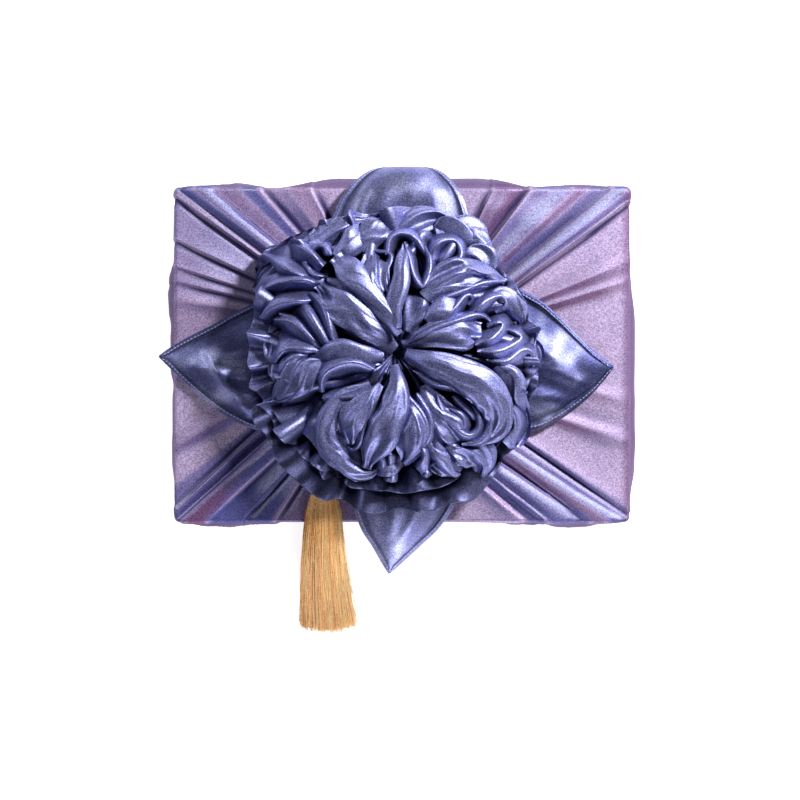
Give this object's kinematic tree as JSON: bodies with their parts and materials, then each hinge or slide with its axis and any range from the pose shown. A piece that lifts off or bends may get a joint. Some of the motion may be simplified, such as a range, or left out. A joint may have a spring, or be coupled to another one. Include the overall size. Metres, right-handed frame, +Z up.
{
  "type": "wrapping cloth round a gift box",
  "caption": "Gift box wrapped in lilac-blue shot satin, gathered on top into a ruffled flower with leaf-shaped corner tips, and a golden tassel over the front edge",
  "frame": {"origin": "centre of the wrapped box's flat underside, which rests on the surface", "axes": "+Z up through the flower, +X to the right along the box's long side, -Y to the front, where the tassel hangs"},
  "size_m": [0.3145, 0.3109, 0.1421],
  "materials": {
    "satin": "shot satin: glossy folds, lilac-pink on the flat panels, blue-violet in the folds",
    "board": "matt rigid paper board",
    "yarn": "silky golden strands"
  },
  "bodies": {
    "root": {"wrapping_cloth": "satin", "gift_box": "board", "tassel": "yarn"}
  },
  "joints": []
}
